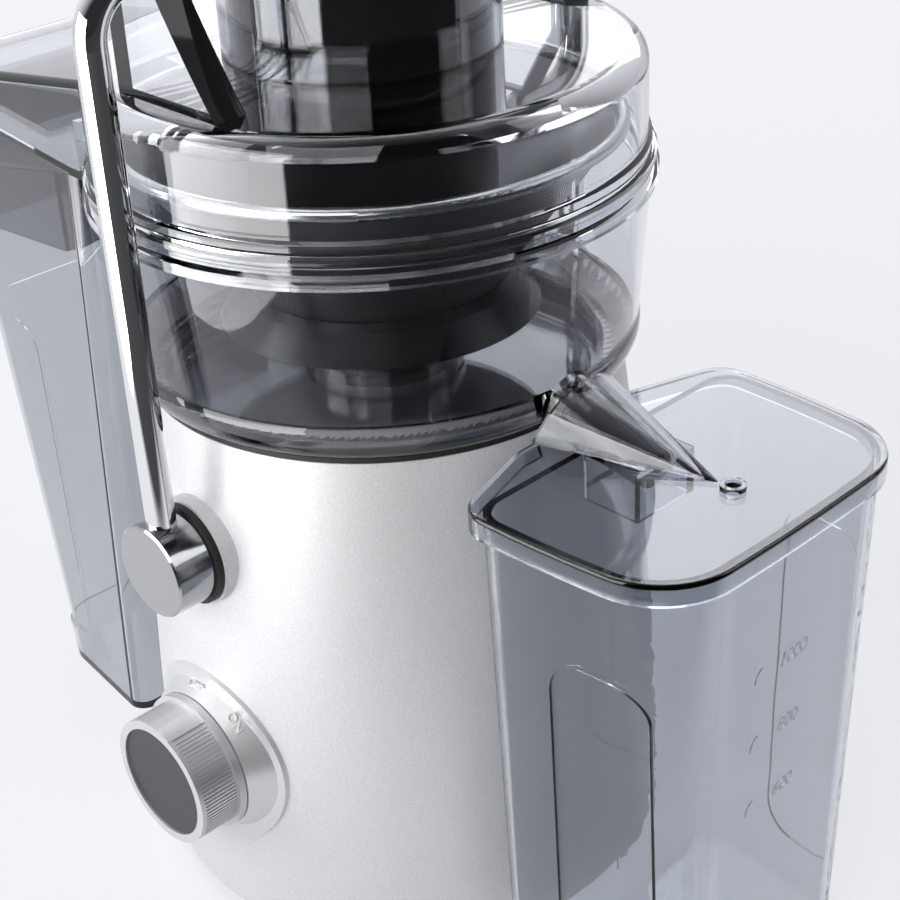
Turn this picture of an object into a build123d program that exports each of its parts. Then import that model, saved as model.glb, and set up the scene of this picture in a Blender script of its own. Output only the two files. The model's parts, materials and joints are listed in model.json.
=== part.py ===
from build123d import *
import os
from math import atan2, cos, degrees, radians, sin, sqrt, tan

# Centrifugal juicer. Millimetres, +Z up. The origin is on the motor axis, at the surface that the
# juicer stands on. +X is the jug side, -X the pulp side and -Y the front, with the dial.

os.makedirs("parts", exist_ok=True)

# Clearances
slide_gap = 0.3
seat_gap = 0.05
run_gap = 0.05

# Motor base
foot_height = 4.0
foot_radius = 9.0
foot_circle = 66.0
base_radius = 89.5
seam_radius = 78.8
seam_height = 186.0
gasket_thickness = 1.6
shell_wall = 2.6
base_plate_thickness = 3.0
base_screw_radius = 1.7
base_screw_length = 16.0
screw_boss_radius = 5.0
deck_thickness = 4.0
deck_ledge = 4.0
bowl_nest_depth = 8.0
gland_height = 32.0
gland_radius = 7.7
gland_bore = 4.0

# Motor, from the shaft outwards
shaft_radius = 5.0
bearing_radius = 13.0
bearing_height = 9.0
bracket_thickness = 3.0
bracket_radius = 58.0
bracket_drop = 12.0
stator_radius = 48.0
stator_bore = 28.0
stator_height = 50.0
stator_ring = 7.0
armature_gap = 1.0
armature_slots = 12
armature_slot_depth = 8.0
armature_slot_width = 3.0
fan_radius = 40.0
fan_height = 5.0
fan_blades = 12
commutator_radius = 13.0
commutator_height = 12.0
winding_height = 7.0
grommet_radius = 8.0
grommet_height = 9.0
grommet_circle = 50.0
motor_screw_radius = 2.0
tie_bolt_radius = 2.0

# Bowl, seal and lid
bowl_wall = 2.6
bowl_lower_step = 2.3
bowl_upper_step = 1.3
bowl_rise = 66.0
bowl_rim_radius = 86.3
chimney_radius = 26.6
chimney_rise = 18.0
spout_root_radius = 11.0
spout_tip_radius = 7.0
spout_wall = 2.0
spout_tip_reach = 20.0
spout_root_rise = 8.0
spout_tip_drop = 5.0
lid_overlap = 7.0
lid_flange_reach = 3.7
lid_flange_height = 13.6
lid_drum_step = 0.3
lid_height = 42.0
lid_wall = 2.6
lid_edge_round = 7.0
seal_thickness = 1.6
feed_tube_radius = 43.0
feed_tube_height = 85.0
feed_tube_lip = 3.0
lug_width = 11.0
lug_centre_y = 70.0
lug_back_x = -20.0
lug_ramp_x = 30.0

# Pulp chute and pulp container
chute_half_width = 51.2
chute_roof_inset = 16.6
chute_roof_rise = 27.0
chute_fall_angle = 8.0
chute_round = 16.0
chute_edge_round = 4.0
chute_wall = 2.4
apron_angle = 10.3
skirt_near_gap = 26.0
skirt_far_gap = 12.0
skirt_half = 40.0
skirt_depth = 38.0
skirt_fall = 4.6
pulp_wall = 2.4
pulp_rim_drop = 9.6
pulp_rim_gap = 6.0
pulp_rim_length = 100.0
pulp_rim_near_half = 48.2
pulp_rim_far_half = 47.0
pulp_near_slope = 14.0
pulp_floor_length = 64.0
pulp_floor_near_half = 49.4
pulp_floor_far_half = 42.0
pulp_near_corner = 7.0
pulp_far_corner = 16.0
pulp_tilt = 5.0
tilt_spare = 0.6
pulp_tilt_room = 2.4
pulp_panel_inset = 50.0
pulp_panel_low = 16.0
pulp_panel_top = 161.0

# Basket and pusher
basket_rise = 11.0
basket_low_radius = 40.0
basket_rim_inset = 5.3
basket_rim_rise = 13.5
basket_sheet = 0.8
basket_bead = 4.0
carrier_skirt_radius = 52.0
carrier_skirt_drop = 1.0
carrier_wall = 3.0
hub_radius = 21.5
coupling_radius = 12.0
coupling_splines = 6
grater_thickness = 1.2
grater_tooth = 1.6
grater_rings = 4
pusher_clearance = 11.0
pusher_wall = 2.4
pusher_flange = 4.0
pusher_flange_height = 12.0

# Locking bail
bail_rise = 38.0
bail_pivot_drop = 41.8
bail_rod_radius = 4.75
bail_leg_gap = 5.2
bail_bend = 18.0
bail_loop_x = 58.0
bail_loop_half = 34.0
bail_boss_radius = 15.5
bail_boss_length = 13.5
bail_pin_radius = 6.0
bail_pin_reach = 70.0
bush_wall = 2.0
washer_radius = 17.0
washer_thickness = 2.2
pivot_pad_radius = 18.0
clip_radius = 9.5
clip_thickness = 1.5

# Dial
dial_height = 65.6
bezel_radius = 32.4
bezel_edge = 1.6
bezel_hub_radius = 24.8
bezel_reach = 3.5
bezel_tube_radius = 22.0
bezel_depth = 27.0
knob_reach = 17.0
knob_radius = 22.4
knob_collar_radius = 24.2
knob_collar_length = 2.6
knob_rib_depth = 0.5
knob_ribs = 90
knob_pointer_sector = 44.0
insert_radius = 19.4
insert_depth = 2.4
spindle_radius = 3.0
switch_side = 34.0
switch_depth = 11.0
interlock_x = 24.0
interlock_depth = 13.05
interlock_post_radius = 4.0

# Jug
jug_rim_drop = 2.0
jug_wall = 2.4
jug_gap = 7.5
jug_length = 70.0
jug_near_half = 57.0
jug_far_half = 52.0
jug_bulge = 1.6
jug_near_corner = 10.0
jug_far_corner = 24.0
jug_draft = 5.0
jug_panel_inset = 28.0
jug_panel_length = 32.0
jug_panel_low = 20.0
jug_panel_top = 149.0
panel_corner = 12.0
panel_depth = 1.0
jug_lid_thickness = 2.2
jug_lid_skirt = 4.6
jug_lid_overlap = 2.0
jug_nose_reach = 12.5
jug_nose_half = 23.0
jug_nose_corner = 6.0
hood_apex_inset = 44.5
hood_length = 55.5
hood_base_radius = 18.5
hood_wall = 2.0
slot_near_half = 16.0
slot_end_half = 7.2
drip_half_width = 10.6
drip_skirt = 15.0
drip_wall = 2.0
hood_slant = 7.0
vent_inset = 48.0
vent_radius = 3.8
vent_height = 1.6
vent_wall = 1.4

# Worked-out heights and radii
bowl_rim_height = seam_height + bowl_rise
chimney_height = seam_height + chimney_rise
spout_root_z = seam_height + spout_root_rise
spout_tip_z = seam_height - spout_tip_drop
lid_low = bowl_rim_height - lid_overlap
lid_top = lid_low + lid_height
feed_tube_top = lid_top + feed_tube_height
pulp_rim_height = lid_low - pulp_rim_drop
basket_low = chimney_height + basket_rise
basket_rim_height = bowl_rim_height + basket_rim_rise
carrier_skirt_low = chimney_height - carrier_skirt_drop
pusher_low = basket_low + pusher_clearance
bail_height = lid_top + bail_rise
bail_pivot_height = seam_height - bail_pivot_drop
jug_rim_height = seam_height - jug_rim_drop
bowl_lower_radius = bowl_rim_radius - bowl_lower_step
bowl_upper_radius = bowl_rim_radius + bowl_upper_step
lid_flange_radius = bowl_rim_radius + lid_flange_reach
lid_drum_radius = bowl_rim_radius + lid_drum_step
basket_rim_radius = bowl_rim_radius - basket_rim_inset
bail_leg_y = lid_flange_radius + bail_leg_gap
chute_roof_x = chute_roof_inset - lid_drum_radius
pulp_rim_near_x = -lid_flange_radius - pulp_rim_gap
pulp_rim_far_x = pulp_rim_near_x - pulp_rim_length
pulp_floor_near_x = pulp_rim_near_x - pulp_near_slope
pulp_floor_far_x = pulp_floor_near_x - pulp_floor_length
pulp_panel_x = pulp_rim_near_x - pulp_panel_inset
skirt_near_x = pulp_rim_near_x - skirt_near_gap
skirt_far_x = pulp_rim_far_x + skirt_far_gap
bezel_front_y = -base_radius - bezel_reach
bezel_rear_y = bezel_front_y + bezel_depth
knob_front_y = bezel_front_y - knob_reach
jug_near_x = base_radius + jug_gap
jug_far_x = jug_near_x + jug_length
jug_panel_near_x = jug_near_x + jug_panel_inset
jug_panel_far_x = jug_panel_near_x + jug_panel_length
jug_nose_x = jug_near_x - jug_nose_reach
hood_apex_x = jug_near_x + hood_apex_inset
hood_base_x = hood_apex_x - hood_length
vent_x = jug_near_x + vent_inset
spout_tip_x = jug_near_x + spout_tip_reach
shell_top = seam_height - gasket_thickness
bowl_low = seam_height - bowl_nest_depth
deck_top = bowl_low - slide_gap
deck_low = deck_top - deck_thickness
nest_radius = seam_radius - shell_wall - 2
body_drop = base_radius - seam_radius
body_arc = ((shell_top - foot_height) ** 2 + body_drop**2) / (2 * body_drop)


def body_radius(height):
    """Outer radius of the body's flared wall at a height."""
    return base_radius - body_arc + sqrt(body_arc**2 - (height - foot_height) ** 2)


def ring(outer, inner, low, high, mode=Mode.ADD):
    """A ring about the motor axis between two heights, or a disc where inner is 0."""
    with BuildSketch(Plane.XY.offset(low)) as section:
        Circle(outer)
        if inner:
            Circle(inner, mode=Mode.SUBTRACT)
    extrude(section.sketch, amount=high - low, mode=mode)


def front_plane(y, height, x=0):
    """A plane that faces the front, with its own Y axis upwards."""
    return Plane(origin=(x, y, height), x_dir=(1, 0, 0), z_dir=(0, -1, 0))


def front_disc(radius, y_back, y_front, height, x=0, mode=Mode.ADD):
    """A disc with its axis along Y, from its back to its front."""
    with BuildSketch(front_plane(y_back, height, x)) as section:
        Circle(radius)
    extrude(section.sketch, amount=y_back - y_front, mode=mode)


def body_wall_line(grow):
    """Line of the body's flared wall, moved outwards by grow."""
    return TangentArc(
        (base_radius + grow, foot_height),
        (seam_radius + grow, shell_top),
        tangent=(0, 1),
    )


def body_form(grow):
    """Solid of the body's outer form, grown by a gap, to trim what sits on the wall."""
    with BuildPart(mode=Mode.PRIVATE) as form:
        with BuildSketch(Plane.XZ):
            with BuildLine():
                wall = body_wall_line(grow)
                Polyline(wall @ 1, (0, shell_top), (0, foot_height), wall @ 0)
            make_face()
        revolve(axis=Axis.Z)
    return form.part


body_outside = body_form(seat_gap)
body_raised = body_form(bezel_edge)
body_middle = body_form(-shell_wall / 2)

interlock_y = interlock_depth - body_radius(bail_pivot_height)

with BuildPart(mode=Mode.PRIVATE) as interlock_post:
    front_disc(interlock_post_radius, interlock_y, -base_radius, bail_pivot_height, interlock_x)
    add(body_middle, mode=Mode.INTERSECT)

boss_rear_y = -bail_leg_y + bail_boss_length / 2
boss_front_y = boss_rear_y - bail_boss_length
washer_front_y = boss_rear_y + slide_gap
pad_front_y = washer_front_y + washer_thickness

with BuildPart(mode=Mode.PRIVATE) as pivot_pads:
    front_disc(pivot_pad_radius, 0, pad_front_y, bail_pivot_height)
    add(body_middle, mode=Mode.SUBTRACT)
    mirror(about=Plane.XZ)

# Motor base
screw_circle = base_radius - shell_wall - screw_boss_radius + 0.6
base_plate_top = foot_height + base_plate_thickness
grommet_top = deck_low - bracket_drop + grommet_height
bracket_low = grommet_top - (grommet_height + bracket_thickness) / 2
bracket_top = bracket_low + bracket_thickness

with BuildPart() as body_shell:
    with BuildSketch(Plane.XZ):
        with BuildLine():
            outer_line = body_wall_line(0)
            inner_line = body_wall_line(-shell_wall)
            Line(outer_line @ 0, inner_line @ 0)
            Line(outer_line @ 1, inner_line @ 1)
        make_face()
    revolve(axis=Axis.Z)
    ledge_radius = body_radius(deck_low) - shell_wall / 2
    ring(ledge_radius, seam_radius - shell_wall - deck_ledge, deck_low - deck_ledge, deck_low)
    # Screw bosses on the inside of the wall, and the post of the interlock switch
    with BuildSketch(Plane.XY.offset(base_plate_top)):
        with PolarLocations(screw_circle, 4, start_angle=45):
            Circle(screw_boss_radius)
    extrude(amount=base_screw_length)
    add(interlock_post.part)
    add(pivot_pads.part)
    with BuildSketch(Plane.XY.offset(base_plate_top)):
        with PolarLocations(screw_circle, 4, start_angle=45):
            Circle(base_screw_radius + seat_gap)
    extrude(amount=base_screw_length, mode=Mode.SUBTRACT)
    # Holes for the dial, the two bail pivots and the cord gland
    front_disc(bezel_tube_radius + seat_gap, 0, -2 * base_radius, dial_height, mode=Mode.SUBTRACT)
    pivot_hole = bail_pin_radius + run_gap + bush_wall + seat_gap
    front_disc(pivot_hole, 2 * base_radius, -2 * base_radius, bail_pivot_height, mode=Mode.SUBTRACT)
    front_disc(gland_radius + seat_gap, 2 * base_radius, 0, gland_height, mode=Mode.SUBTRACT)

with BuildPart() as base_plate:
    ring(base_radius - shell_wall - slide_gap, 0, foot_height, base_plate_top)
    with BuildSketch(Plane.XY.offset(foot_height)):
        with PolarLocations(screw_circle, 4, start_angle=45):
            Circle(base_screw_radius + slide_gap)
        with PolarLocations(foot_circle, 4):
            Circle(foot_radius / 2 + seat_gap)
        # Air slots below the motor fan
        with PolarLocations(fan_radius - 4, 18):
            SlotOverall(22, 4)
    extrude(amount=base_plate_thickness, mode=Mode.SUBTRACT)

with BuildPart() as rubber_feet:
    with BuildSketch():
        with PolarLocations(foot_circle, 4):
            Circle(foot_radius)
    extrude(amount=foot_height)
    chamfer(rubber_feet.faces().sort_by(Axis.Z)[:4].edges(), foot_radius / 9)
    with BuildSketch(Plane.XY.offset(foot_height)):
        with PolarLocations(foot_circle, 4):
            Circle(foot_radius / 2)
    extrude(amount=base_plate_thickness + 1)

with BuildPart() as base_screws:
    screw_head_height = 2.4
    with BuildSketch(Plane.XY.offset(foot_height - screw_head_height)):
        with PolarLocations(screw_circle, 4, start_angle=45):
            Circle(2 * base_screw_radius)
    extrude(amount=screw_head_height)
    with BuildSketch(Plane.XY.offset(foot_height)):
        with PolarLocations(screw_circle, 4, start_angle=45):
            Circle(base_screw_radius)
    extrude(amount=base_plate_thickness + base_screw_length - 1)

with BuildPart() as top_deck:
    deck_radius = seam_radius - shell_wall - slide_gap
    deck_well = bearing_radius + 2
    ring(deck_radius, 0, deck_low, deck_top)
    ring(chimney_radius - bowl_wall - 4 * slide_gap, deck_well, deck_top, deck_top + 5)
    with BuildSketch(Plane.XY.offset(deck_low)):
        with PolarLocations(grommet_circle, 4, start_angle=45):
            Circle(grommet_radius)
    extrude(amount=grommet_top - deck_low)
    ring(deck_well, 0, deck_low, deck_top + 5, mode=Mode.SUBTRACT)
    with BuildSketch(Plane.XY.offset(grommet_top)):
        with PolarLocations(grommet_circle, 4, start_angle=45):
            Circle(motor_screw_radius + seat_gap)
    extrude(amount=deck_low - grommet_top, mode=Mode.SUBTRACT)

with BuildPart() as seam_gasket:
    ring(seam_radius - 0.4, nest_radius + slide_gap, shell_top, seam_height)

with BuildPart() as shaft_seal:
    seal_outer = deck_well - seat_gap
    ring(seal_outer, shaft_radius + run_gap, deck_low, deck_top)
    ring(seal_outer - 3, shaft_radius + 3, deck_top - 2.4, deck_top, mode=Mode.SUBTRACT)

with BuildPart() as cord_gland:
    gland_back = body_radius(gland_height)
    front_disc(gland_radius + 3, gland_back + 3, 0, gland_height)
    add(body_outside, mode=Mode.SUBTRACT)
    front_disc(gland_radius, gland_back + 1, gland_back - 12, gland_height)
    front_disc(gland_bore, gland_back + 4, gland_back - 13, gland_height, mode=Mode.SUBTRACT)

# Motor
fan_top = bracket_low - 6
fan_low = fan_top - fan_height
stator_top = fan_low - winding_height - 1
stator_low = stator_top - stator_height
commutator_top = stator_low - winding_height - 2
commutator_low = commutator_top - commutator_height
lower_bracket_top = commutator_low - 6
lower_bracket_low = lower_bracket_top - bracket_thickness
upper_bearing_low = bracket_top - bearing_height
lower_bearing_top = lower_bracket_low + bearing_height
bearing_cup = bearing_radius + 3
tie_circle = stator_radius - stator_ring / 2
coil_reach = 5.0
pole_half = 12.0

with BuildPart() as upper_bracket:
    with BuildSketch(Plane.XY.offset(bracket_low)):
        Circle(stator_radius)
        with PolarLocations(grommet_circle, 4, start_angle=45):
            Circle(bracket_radius - grommet_circle + 3)
        with PolarLocations(stator_radius * 0.62, 4, start_angle=0):
            Circle(8, mode=Mode.SUBTRACT)
        with PolarLocations(grommet_circle, 4, start_angle=45):
            Circle(grommet_radius * 0.75, mode=Mode.SUBTRACT)
        with PolarLocations(tie_circle, 2, start_angle=90):
            Circle(tie_bolt_radius + seat_gap, mode=Mode.SUBTRACT)
    extrude(amount=bracket_thickness)
    ring(bearing_cup, 0, upper_bearing_low, bracket_top)
    ring(bearing_radius + seat_gap, 0, upper_bearing_low, bracket_top, mode=Mode.SUBTRACT)

with BuildPart() as lower_bracket:
    with BuildSketch(Plane.XY.offset(lower_bracket_low)):
        Circle(stator_radius)
        with PolarLocations(stator_radius * 0.62, 4, start_angle=45):
            Circle(10, mode=Mode.SUBTRACT)
        with PolarLocations(tie_circle, 2, start_angle=90):
            Circle(tie_bolt_radius + seat_gap, mode=Mode.SUBTRACT)
    extrude(amount=bracket_thickness)
    ring(bearing_cup, 0, lower_bracket_low, lower_bearing_top)
    ring(bearing_radius + seat_gap, 0, lower_bracket_low, lower_bearing_top, mode=Mode.SUBTRACT)

with BuildPart() as motor_grommets:
    for low, high, radius in (
        (grommet_top - grommet_height, bracket_low, grommet_radius),
        (bracket_low, bracket_top, grommet_radius * 0.75 - seat_gap),
        (bracket_top, grommet_top, grommet_radius),
    ):
        with BuildSketch(Plane.XY.offset(low)):
            with PolarLocations(grommet_circle, 4, start_angle=45):
                Circle(radius)
                Circle(motor_screw_radius + seat_gap, mode=Mode.SUBTRACT)
        extrude(amount=high - low)

with BuildPart() as motor_screws:
    screw_low = grommet_top - grommet_height
    for low, high, radius in (
        (screw_low - 3, screw_low, 2.4 * motor_screw_radius),
        (screw_low, deck_low - 1, motor_screw_radius),
    ):
        with BuildSketch(Plane.XY.offset(low)):
            with PolarLocations(grommet_circle, 4, start_angle=45):
                Circle(radius)
        extrude(amount=high - low)

with BuildPart() as stator_core:
    with BuildSketch(Plane.XY.offset(stator_low)):
        Circle(stator_radius)
        Circle(stator_radius - stator_ring, mode=Mode.SUBTRACT)
        Rectangle(2 * stator_radius - stator_ring, 2 * pole_half)
        with BuildSketch(mode=Mode.PRIVATE) as shoes:
            Circle(stator_bore + 4)
            Rectangle(4 * stator_bore, 1.5 * stator_bore, mode=Mode.INTERSECT)
        add(shoes.sketch)
        Circle(stator_bore, mode=Mode.SUBTRACT)
        with PolarLocations(tie_circle, 2, start_angle=90):
            Circle(tie_bolt_radius + seat_gap, mode=Mode.SUBTRACT)
    extrude(amount=stator_height)

with BuildPart() as field_coils:
    coil_inner_x = stator_bore + 4.4
    coil_outer_x = coil_inner_x + 4.4
    coil_plane = Plane.YZ.offset(coil_inner_x)
    with BuildSketch(coil_plane):
        with Locations((0, stator_low + stator_height / 2)):
            RectangleRounded(2 * pole_half + 2 * coil_reach, stator_height + 2 * coil_reach, coil_reach)
            Rectangle(2 * pole_half + slide_gap, stator_height + slide_gap, mode=Mode.SUBTRACT)
    extrude(amount=coil_outer_x - coil_inner_x)
    mirror(about=Plane.YZ)

with BuildPart() as upper_bearing:
    ring(bearing_radius, shaft_radius + run_gap, upper_bearing_low, bracket_top)

with BuildPart() as lower_bearing:
    ring(bearing_radius, shaft_radius + run_gap, lower_bracket_low, lower_bearing_top)

with BuildPart() as tie_bolts:
    for low, high, radius in (
        (lower_bracket_low - 3, lower_bracket_low, 2 * tie_bolt_radius),
        (lower_bracket_low, bracket_top, tie_bolt_radius),
        (bracket_top, bracket_top + 3, 2 * tie_bolt_radius),
    ):
        with BuildSketch(Plane.XY.offset(low)):
            with PolarLocations(tie_circle, 2, start_angle=90):
                Circle(radius)
        extrude(amount=high - low)

brush_half = 3.5
brush_middle = (commutator_low + commutator_top) / 2
brush_end = stator_radius - 6

with BuildPart() as brush_holders:
    with BuildSketch(Plane.YZ.offset(commutator_radius + 3)):
        with Locations((0, (lower_bracket_top + commutator_top) / 2)):
            Rectangle(4 * brush_half, commutator_top - lower_bracket_top)
        with Locations((0, brush_middle)):
            Rectangle(2 * brush_half + slide_gap, 2 * brush_half + slide_gap, mode=Mode.SUBTRACT)
    extrude(amount=brush_end - commutator_radius - 3)
    mirror(about=Plane.YZ)

with BuildPart() as carbon_brushes:
    with BuildSketch(Plane.YZ.offset(commutator_radius + slide_gap)):
        with Locations((0, brush_middle)):
            Rectangle(2 * brush_half, 2 * brush_half)
    extrude(amount=20)
    mirror(about=Plane.YZ)

# Rotor
coupling_low = deck_top + 6
coupling_top = basket_low - grater_thickness - carrier_wall - 2

with BuildPart() as motor_shaft:
    ring(shaft_radius, 0, lower_bracket_low - 4, coupling_top - 3)

with BuildPart() as armature_core:
    with BuildSketch(Plane.XY.offset(stator_low)):
        Circle(stator_bore - armature_gap)
        with PolarLocations(stator_bore - armature_gap, armature_slots):
            SlotOverall(2 * armature_slot_depth, armature_slot_width, mode=Mode.SUBTRACT)
        Circle(shaft_radius + seat_gap, mode=Mode.SUBTRACT)
    extrude(amount=stator_height)

with BuildPart() as armature_windings:
    ring(stator_bore - 6, shaft_radius + seat_gap, stator_top, stator_top + winding_height - 1)
    ring(stator_bore - 6, shaft_radius + seat_gap, stator_low - winding_height + 1, stator_low)
    winding_edges = armature_windings.edges().filter_by(GeomType.CIRCLE).group_by(SortBy.RADIUS)[-1]
    fillet(winding_edges, 2)

with BuildPart() as commutator:
    ring(commutator_radius, shaft_radius + seat_gap, commutator_low, commutator_top)

with BuildPart() as cooling_fan:
    ring(fan_radius, shaft_radius + seat_gap, fan_low, fan_low + 1.2)
    ring(shaft_radius + 5, shaft_radius + seat_gap, fan_low, fan_top)
    with BuildSketch(Plane.XY.offset(fan_low)):
        with PolarLocations((fan_radius + 12) / 2, fan_blades):
            Rectangle(fan_radius - 14, 1.4, rotation=18)
    extrude(amount=fan_height)

with BuildPart() as drive_coupling:
    with BuildSketch(Plane.XY.offset(coupling_low)):
        Circle(coupling_radius - 2)
        with PolarLocations(coupling_radius - 2, coupling_splines):
            Rectangle(4, 5)
        Circle(shaft_radius + seat_gap, mode=Mode.SUBTRACT)
    extrude(amount=coupling_top - coupling_low - 3)
    ring(coupling_radius - 1, 0, coupling_top - 3, coupling_top)

carrier_top = basket_low - grater_thickness

with BuildPart() as basket_carrier:
    # Sloping skirt over the chimney, top plate and splined hub
    with BuildSketch(Plane.XZ):
        with BuildLine():
            Polyline(
                (0, carrier_top),
                (basket_low_radius + 2, carrier_top),
                (basket_low_radius + 5, carrier_top - 2),
                (carrier_skirt_radius, carrier_skirt_low),
                (carrier_skirt_radius - carrier_wall, carrier_skirt_low),
                (basket_low_radius, carrier_top - carrier_wall),
                (hub_radius, carrier_top - carrier_wall),
                (hub_radius, coupling_low + 2),
                (0, coupling_low + 2),
                close=True,
            )
        make_face()
    revolve(axis=Axis.Z)
    with BuildSketch(Plane.XY.offset(coupling_low + 2)):
        Circle(coupling_radius - 2 + slide_gap)
        with PolarLocations(coupling_radius - 2, coupling_splines):
            Rectangle(4 + 2 * slide_gap, 5 + 2 * slide_gap)
        Circle(coupling_radius - 1 + slide_gap)
    extrude(amount=coupling_top - coupling_low - 2 + slide_gap, mode=Mode.SUBTRACT)

with BuildPart() as grater_disc:
    ring(basket_low_radius - basket_sheet - slide_gap, 0, carrier_top, basket_low)
    # Rings of cutting teeth, each a small wedge that leans into the turn
    for step in range(1, grater_rings + 1):
        tooth_circle = basket_low_radius * step / (grater_rings + 0.6)
        with BuildSketch(Plane.XY.offset(basket_low)):
            with PolarLocations(tooth_circle, 5 * step + 1, start_angle=11 * step):
                Triangle(a=2 * grater_tooth, b=2 * grater_tooth, C=60)
        extrude(amount=grater_tooth, taper=22)

basket_rim_inner = basket_rim_radius - basket_bead

with BuildPart() as filter_basket:
    with BuildSketch(Plane.XZ):
        with BuildLine():
            Polyline(
                (basket_low_radius - basket_sheet, carrier_top),
                (basket_low_radius + 1, carrier_top),
                (basket_rim_inner + 1, basket_rim_height - basket_bead),
                (basket_rim_inner - basket_sheet, basket_rim_height - basket_bead),
                (basket_low_radius - basket_sheet, basket_low),
                close=True,
            )
        make_face()
    revolve(axis=Axis.Z)

with BuildPart() as basket_rim:
    rim_middle = basket_rim_height - basket_bead / 2
    with BuildSketch(Plane.XZ):
        with Locations((basket_rim_radius - basket_bead / 2, rim_middle)):
            RectangleRounded(basket_bead, basket_bead, basket_bead * 0.4)
    revolve(axis=Axis.Z)

# Juice bowl, with its spout towards the jug
bowl_floor = bowl_low + bowl_wall
bowl_turn = seam_height + 13
bowl_foot_radius = seam_radius - 0.6
spout_root_x = bowl_lower_radius - 8
spout_run = spout_tip_x - spout_root_x
spout_tilt = degrees(atan2(spout_root_z - spout_tip_z, spout_run))
spout_length = sqrt(spout_run**2 + (spout_root_z - spout_tip_z) ** 2)
spout_axis = Plane(
    origin=(spout_root_x, 0, spout_root_z),
    x_dir=(0, 1, 0),
    z_dir=(cos(radians(spout_tilt)), 0, -sin(radians(spout_tilt))),
)

with BuildPart() as juice_bowl:
    with BuildSketch(spout_axis):
        Circle(spout_root_radius)
    with BuildSketch(spout_axis.offset(spout_length)):
        Circle(spout_tip_radius)
    loft()
    add(body_outside, mode=Mode.SUBTRACT)
    ring(seam_radius, 0, shell_top, seam_height, mode=Mode.SUBTRACT)
    with BuildSketch(Plane.XZ):
        with BuildLine():
            Polyline(
                (0, bowl_low),
                (nest_radius, bowl_low),
                (nest_radius, seam_height),
                (bowl_foot_radius, seam_height),
            )
            turn = TangentArc(
                (bowl_foot_radius, seam_height),
                (bowl_lower_radius, bowl_turn),
                tangent=(1, 0.5),
            )
            Polyline(
                turn @ 1,
                (bowl_upper_radius, lid_low - slide_gap),
                (bowl_rim_radius, lid_low - slide_gap),
                (bowl_rim_radius, bowl_rim_height),
                (0, bowl_rim_height),
                (0, bowl_low),
            )
        make_face()
    revolve(axis=Axis.Z)
    # Hollow of the bowl, round the chimney that keeps juice off the motor
    with BuildSketch(Plane.XZ):
        with BuildLine():
            Polyline(
                (0, bowl_rim_height),
                (0, chimney_height),
                (chimney_radius, chimney_height),
                (chimney_radius, bowl_floor),
                (nest_radius - bowl_wall, bowl_floor),
                (nest_radius - bowl_wall, seam_height + bowl_wall),
                (bowl_foot_radius - bowl_wall, seam_height + bowl_wall),
                (bowl_lower_radius - bowl_wall, bowl_turn),
                (bowl_rim_radius - bowl_wall, lid_low),
                (bowl_rim_radius - bowl_wall, bowl_rim_height),
                close=True,
            )
        make_face()
    revolve(axis=Axis.Z, mode=Mode.SUBTRACT)
    ring(chimney_radius - bowl_wall, 0, bowl_low, chimney_height, mode=Mode.SUBTRACT)
    with BuildSketch(spout_axis.offset(-6)):
        Circle(spout_root_radius - spout_wall)
    with BuildSketch(spout_axis.offset(spout_length + 1)):
        Circle(spout_tip_radius - spout_wall)
    loft(mode=Mode.SUBTRACT)

with BuildPart() as lid_seal:
    ring(bowl_rim_radius, bowl_rim_radius - bowl_wall, bowl_rim_height, bowl_rim_height + seal_thickness)

# Lid, with feed tube, locking lugs and pulp chute
lid_seat = bowl_rim_height + seal_thickness
lid_inner_radius = lid_drum_radius - lid_wall
lid_skirt_inner = bowl_rim_radius + slide_gap
flange_top = lid_low + lid_flange_height
feed_bore = feed_tube_radius - lid_wall
lug_top = bail_height - bail_rod_radius - slide_gap
chute_low = pulp_rim_height + 2 * slide_gap
chute_inside_x = pulp_rim_far_x - pulp_tilt_room
chute_end_x = chute_inside_x - chute_wall
chute_inside_half = chute_half_width - chute_wall
chute_roof = lid_low + chute_roof_rise
chute_far_roof = chute_roof - (chute_roof_x - chute_end_x) * tan(radians(chute_fall_angle))
shelf_far_low = chute_low + (pulp_rim_near_x - chute_end_x) * tan(radians(pulp_tilt + tilt_spare))
apron_far_low = chute_low - (pulp_rim_near_x - chute_end_x) * tan(radians(apron_angle))
skirt_low = pulp_rim_height - skirt_depth
window_low = lid_seat + 2.4


def side_form(points, half_width, corner):
    """Solid with a side view given by points, its far upright corners rounded."""
    with BuildPart(mode=Mode.PRIVATE) as form:
        with BuildSketch(Plane.XZ) as section:
            with BuildLine() as outline:
                Polyline(points, close=True)
            make_face(outline.edges())
        extrude(section.sketch, amount=half_width, both=True)
        if corner:
            fillet(form.edges().filter_by(Axis.Z).group_by(Axis.X)[0], corner)
    return form.part


chute_cover = side_form(
    [
        (0, chute_low),
        (pulp_rim_near_x, chute_low),
        (chute_end_x, apron_far_low),
        (chute_end_x, chute_far_roof),
        (chute_roof_x, chute_roof),
        (0, chute_roof),
    ],
    chute_half_width,
    chute_round,
)
chute_hollow = side_form(
    [
        (0, window_low),
        (-lid_flange_radius, window_low),
        (-lid_flange_radius, chute_low + chute_wall),
        (pulp_rim_near_x, chute_low + chute_wall),
        (chute_inside_x, shelf_far_low + chute_wall),
        (chute_inside_x, chute_far_roof - chute_wall),
        (chute_roof_x, chute_roof - chute_wall),
        (0, chute_roof - chute_wall),
    ],
    chute_inside_half,
    chute_round - chute_wall,
)
container_room = side_form(
    [
        (pulp_rim_near_x, skirt_low),
        (pulp_rim_near_x, chute_low),
        (chute_inside_x, shelf_far_low),
        (chute_inside_x, skirt_low),
    ],
    chute_inside_half,
    chute_round - chute_wall,
)
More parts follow.
